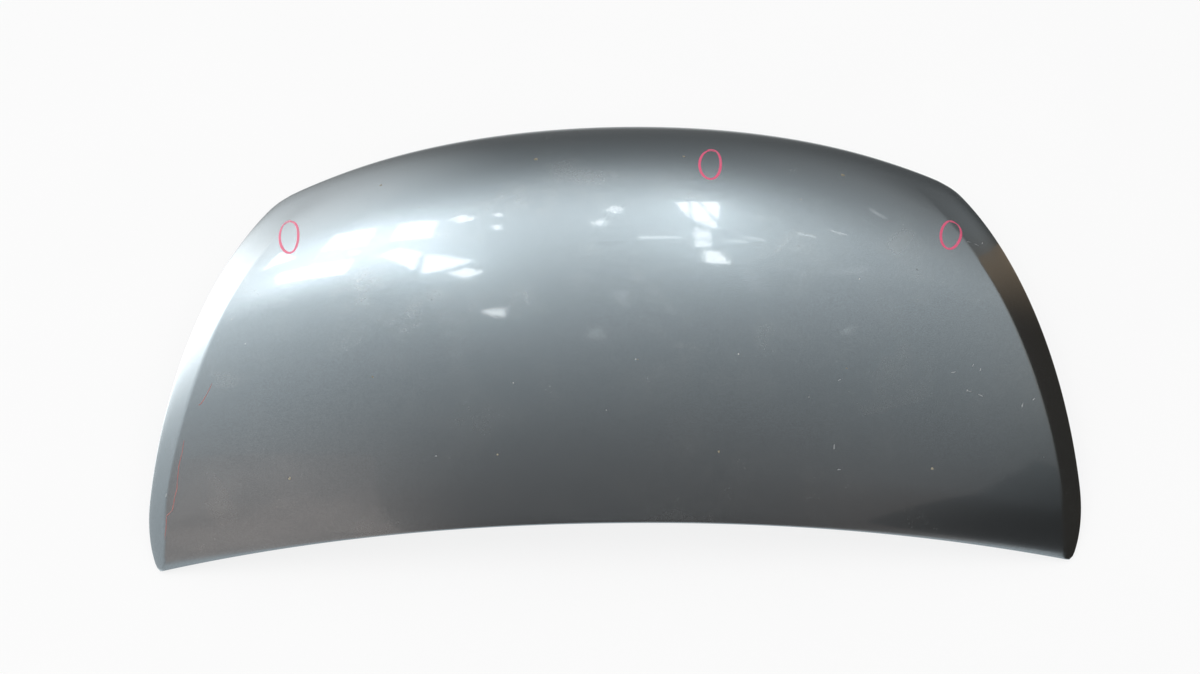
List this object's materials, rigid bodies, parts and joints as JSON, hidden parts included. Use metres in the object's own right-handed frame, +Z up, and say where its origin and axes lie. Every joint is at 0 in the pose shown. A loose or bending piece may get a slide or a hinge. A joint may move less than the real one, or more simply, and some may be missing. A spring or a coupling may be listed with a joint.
{
  "type": "car bonnet",
  "caption": "Pressed steel bonnet of a compact car: crowned skin with shoulder creases, hemmed over a ribbed inner panel with hinge pads, striker, buffers and a prop rod socket",
  "frame": {"origin": "on the ground under the middle of the bonnet as it lies crown up on its corners", "axes": "X across the car, +Y towards the nose, +Z up"},
  "size_m": [1.4248, 0.8508, 0.1589],
  "materials": {
    "body_paint": "mid grey metallic paint under clear coat",
    "inner_paint": "thin grey metallic paint, satin",
    "primed_steel": "grey primer, matt",
    "zinc_steel": "zinc plated, slightly dull",
    "rubber": "black rubber, matt",
    "plastic": "black moulded plastic",
    "mastic": "grey expanding mastic, matt"
  },
  "bodies": {
    "root": {"outer_panel": "body_paint", "inner_panel": "inner_paint", "hinge_reinforcement_left": "primed_steel", "hinge_nut_left_rear": "zinc_steel", "hinge_nut_left_front": "zinc_steel", "hinge_reinforcement_right": "primed_steel", "hinge_nut_right_rear": "zinc_steel", "hinge_nut_right_front": "zinc_steel", "striker_reinforcement": "primed_steel", "striker_plate": "zinc_steel", "striker_loop": "zinc_steel", "striker_bolt_left": "zinc_steel", "striker_nut_left": "zinc_steel", "striker_bolt_right": "zinc_steel", "striker_nut_right": "zinc_steel", "buffer_front_left": "rubber", "buffer_side_left": "rubber", "buffer_front_right": "rubber", "buffer_side_right": "rubber", "prop_rod_socket": "plastic", "mastic_left_outer_rear_rear": "mastic", "mastic_left_outer_rear_side": "mastic", "mastic_left_outer_rear_nose": "mastic", "mastic_left_outer_front_rear": "mastic", "mastic_left_outer_front_side": "mastic", "mastic_left_outer_front_nose": "mastic", "mastic_left_inner_rear_rear": "mastic", "mastic_left_inner_rear_side": "mastic", "mastic_left_inner_rear_nose": "mastic", "mastic_left_inner_front_rear": "mastic", "mastic_left_inner_front_side": "mastic", "mastic_left_inner_front_nose": "mastic", "mastic_right_inner_rear_rear": "mastic", "mastic_right_inner_rear_side": "mastic", "mastic_right_inner_rear_nose": "mastic", "mastic_right_inner_front_rear": "mastic", "mastic_right_inner_front_side": "mastic", "mastic_right_inner_front_nose": "mastic", "mastic_right_outer_rear_rear": "mastic", "mastic_right_outer_rear_side": "mastic", "mastic_right_outer_rear_nose": "mastic", "mastic_right_outer_front_rear": "mastic", "mastic_right_outer_front_side": "mastic", "mastic_right_outer_front_nose": "mastic"}
  },
  "joints": []
}
